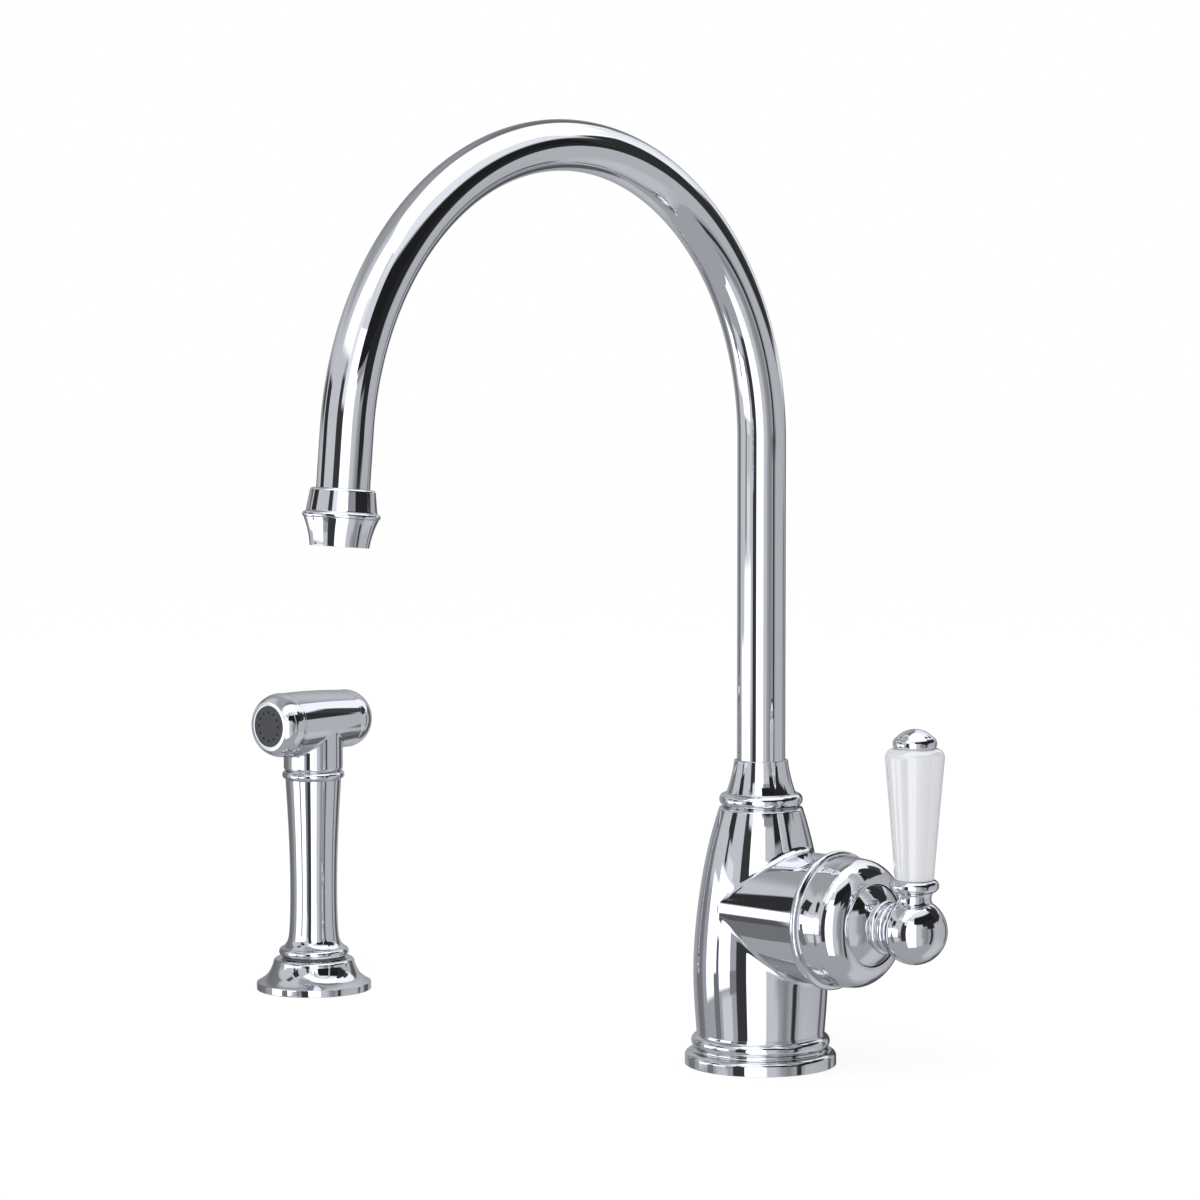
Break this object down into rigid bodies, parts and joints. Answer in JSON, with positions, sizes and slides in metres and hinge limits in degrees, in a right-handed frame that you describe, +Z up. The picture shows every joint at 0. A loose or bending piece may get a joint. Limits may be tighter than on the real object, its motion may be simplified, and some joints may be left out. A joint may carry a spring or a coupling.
{
  "type": "side spray kitchen faucet",
  "caption": "Chrome kitchen faucet with a swan-neck spout, side lever valve with a porcelain grip, and a separate hand spray standing in its own deck holder.",
  "frame": {"origin": "centre of the faucet's base, on the deck's top face", "axes": "+Z up; the spout points along -Y, the valve barrel and lever along +X, the hand spray stands on the -X side"},
  "size_m": [0.3683, 0.2705, 0.4272],
  "materials": {
    "chrome": "polished chrome plate",
    "porcelain": "clear white glaze",
    "rose_black": "satin black",
    "rubber": "matte",
    "brass": "turned",
    "steel": "brushed",
    "ceramic_white": "ground",
    "acetal_white": "satin",
    "plastic_grey": "satin"
  },
  "bodies": {
    "faucet_body": {"body_casting": "chrome", "base_ring": "chrome", "base_gasket": "rubber", "mounting_shank": "brass", "deck_washer_rubber": "rubber", "deck_washer_steel": "steel", "mounting_nut": "brass", "jack_screws": "steel", "inlet_manifold": "brass", "cartridge_housing": "plastic_grey", "cartridge_seals": "rubber", "fixed_ceramic_disc": "ceramic_white", "cartridge_nut": "brass", "bonnet": "chrome", "bonnet_seal": "rubber", "spout_cone": "chrome", "diverter_seat": "brass", "diverter_spring": "steel", "spray_holder": "chrome", "spray_holder_gasket": "rubber", "spray_holder_shank": "brass", "spray_holder_liner": "plastic_grey", "spray_holder_washer": "steel", "spray_holder_nut": "plastic_grey"},
    "spout": {"spout_tube": "chrome", "spout_ferrule": "brass", "spout_o_rings": "rubber", "spout_glide_ring": "acetal_white", "spout_clip": "acetal_white", "nozzle_collar": "chrome", "aerator_housing": "chrome", "aerator_insert": "plastic_grey", "aerator_washer": "rubber"},
    "rotor": {"stem_rotor": "acetal_white", "stem_pivot_pin": "steel"},
    "control_disc": {"moving_ceramic_disc": "ceramic_white", "disc_carrier": "acetal_white"},
    "lever": {"lever_stem": "steel", "lever_hub": "chrome", "hub_grub_screw": "steel", "lever_rod": "steel", "lever_collar": "chrome", "porcelain_grip": "porcelain", "grip_washers": "acetal_white", "lever_finial": "chrome"},
    "diverter": {"diverter_piston": "acetal_white"},
    "spray_connector": {"hose_connector": "brass", "connector_o_ring": "rubber", "connector_clip": "acetal_white"},
    "spray_handset": {"spray_grip": "chrome", "spray_head": "chrome", "spray_front_cap": "chrome", "spray_rose": "rose_black", "rose_gasket": "rubber", "spray_valve_seat": "brass", "spray_rear_cap": "chrome", "button_spring": "steel"},
    "spray_trigger": {"spray_button": "chrome", "spray_valve_stem": "steel", "spray_valve_washer": "rubber"}
  },
  "joints": [
    {"name": "spout_swivel", "type": "hinge", "parent": "faucet_body", "child": "spout", "pos_m": [0, 0, 0.1], "axis": [0, 0, 1], "continuous": true},
    {"name": "lever_turn", "type": "hinge", "parent": "faucet_body", "child": "rotor", "pos_m": [0.042, 0, 0.0605], "axis": [1, 0, 0], "range_deg": [-45, 45]},
    {"name": "lever_tilt", "type": "hinge", "parent": "rotor", "child": "lever", "pos_m": [0.042, 0, 0.0605], "axis": [0, 1, 0], "range_deg": [0, 16]},
    {"name": "disc_slide", "type": "slide", "parent": "rotor", "child": "control_disc", "axis": [0, 0, 1], "range_m": [0, 0.00415]},
    {"name": "diverter_lift", "type": "slide", "parent": "faucet_body", "child": "diverter", "axis": [0, 0, 1], "range_m": [0, 0.003], "stiffness_N_per_m": 120, "springref_m": -0.003, "deforming": ["diverter_spring"]},
    {"name": "spray_lift", "type": "slide", "parent": "faucet_body", "child": "spray_connector", "axis": [0, 0, 1], "range_m": [0, 0.08]},
    {"name": "spray_turn", "type": "hinge", "parent": "spray_connector", "child": "spray_handset", "pos_m": [-0.2515, -0.0035, 0.03], "axis": [0, 0, 1], "continuous": true},
    {"name": "spray_button_press", "type": "slide", "parent": "spray_handset", "child": "spray_trigger", "axis": [0, -1, 0], "range_m": [0, 0.0035], "stiffness_N_per_m": 400, "springref_m": -0.004, "deforming": ["button_spring"]}
  ],
  "couplings": [
    {"joint": "disc_slide", "follows": "lever_tilt", "m_per_rad": 0.014806}
  ]
}
